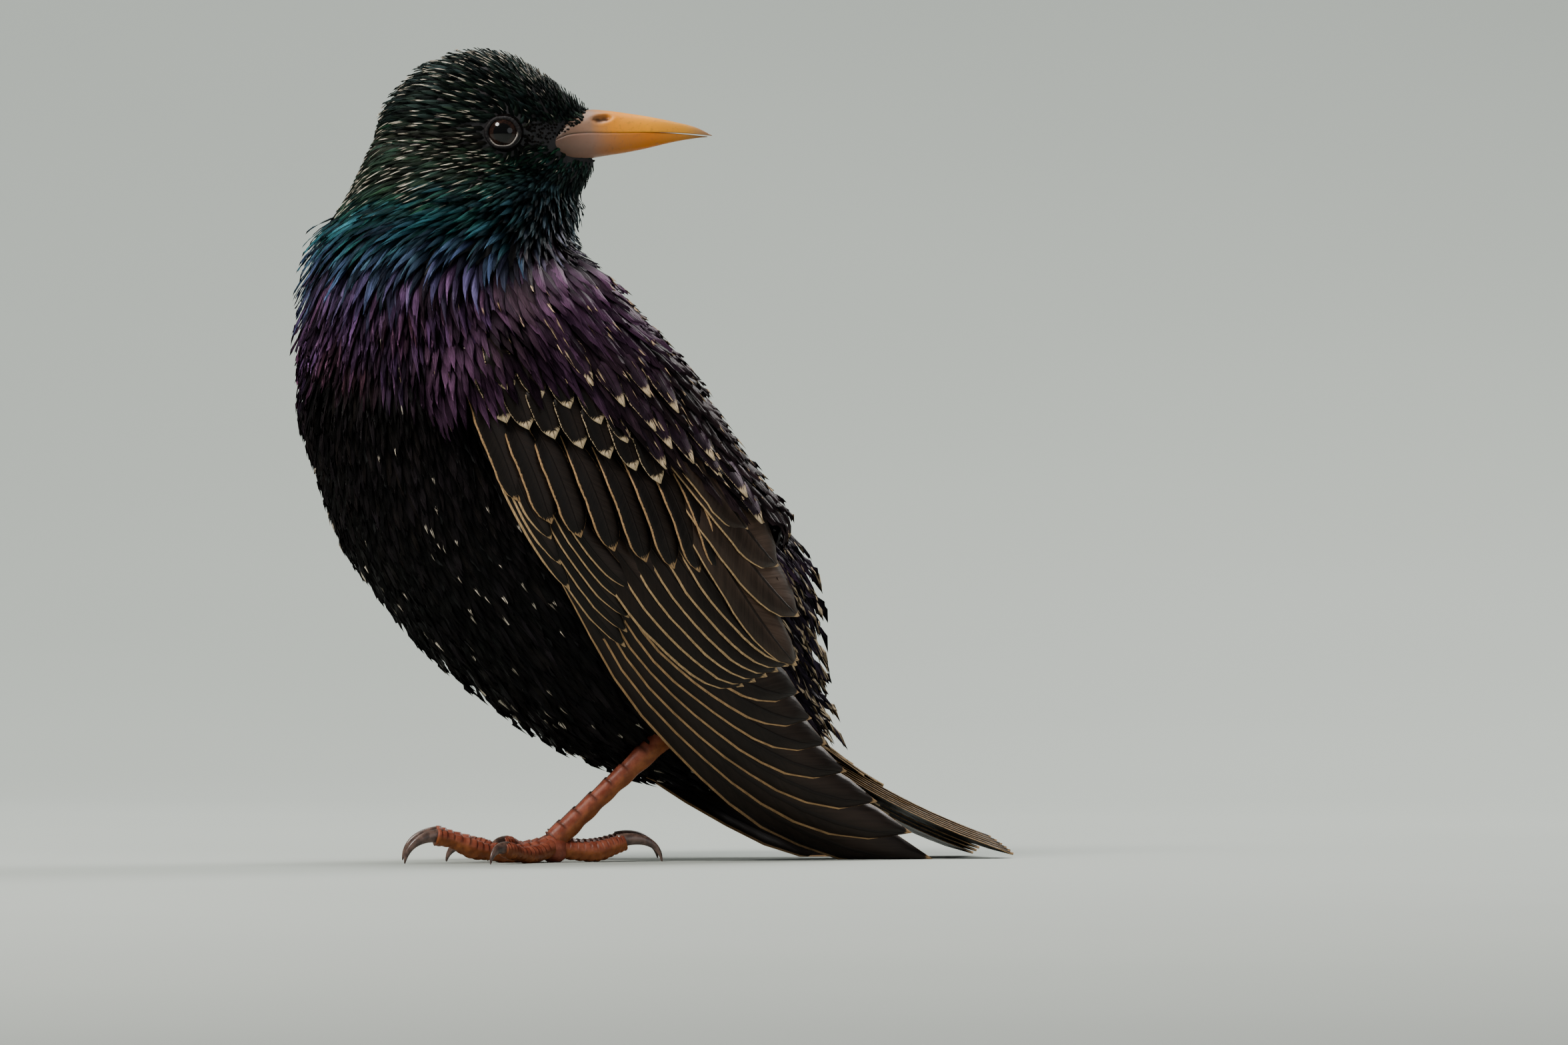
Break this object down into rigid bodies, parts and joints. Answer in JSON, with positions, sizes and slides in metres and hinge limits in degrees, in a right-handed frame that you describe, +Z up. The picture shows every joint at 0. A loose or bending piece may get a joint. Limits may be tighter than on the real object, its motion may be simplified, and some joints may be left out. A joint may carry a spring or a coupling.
{
  "type": "common starling",
  "caption": "Life-size common starling standing on the ground with its head turned back over its left shoulder, wings folded.",
  "frame": {"origin": "on the floor, under the centre of the bounding box", "axes": "+Z up; the chest faces -X and the tail +X; the bird's left side faces -Y"},
  "size_m": [0.1522, 0.0754, 0.1669],
  "materials": {
    "head_plumage": "short glossy black feathers with a green and purple sheen",
    "hackles": "long pointed glossy hackles, green to blue-purple, some with pale tips",
    "body_plumage": "glossy black-purple feathers with small buff and white tips",
    "flight_feathers": "satin dark brown vanes with buff edges",
    "bill": "satin yellow horn, greyer at the base and tip",
    "eye": "wet dark brown",
    "leg_skin": "satin reddish-brown scutes",
    "claw": "satin grey-brown horn"
  },
  "bodies": {
    "root": {"head": "head_plumage", "neck": "hackles", "torso": "body_plumage", "tail": "flight_feathers", "wing_left": "flight_feathers", "wing_right": "flight_feathers", "bill_upper": "bill", "bill_lower": "bill", "eye_left": "eye", "eye_right": "eye", "tarsus_left": "leg_skin", "tarsus_right": "leg_skin", "foot_left": "leg_skin", "foot_right": "leg_skin", "claw_left_middle": "claw", "claw_left_outer": "claw", "claw_left_inner": "claw", "claw_left_hind": "claw", "claw_right_middle": "claw", "claw_right_outer": "claw", "claw_right_inner": "claw", "claw_right_hind": "claw"}
  },
  "joints": []
}
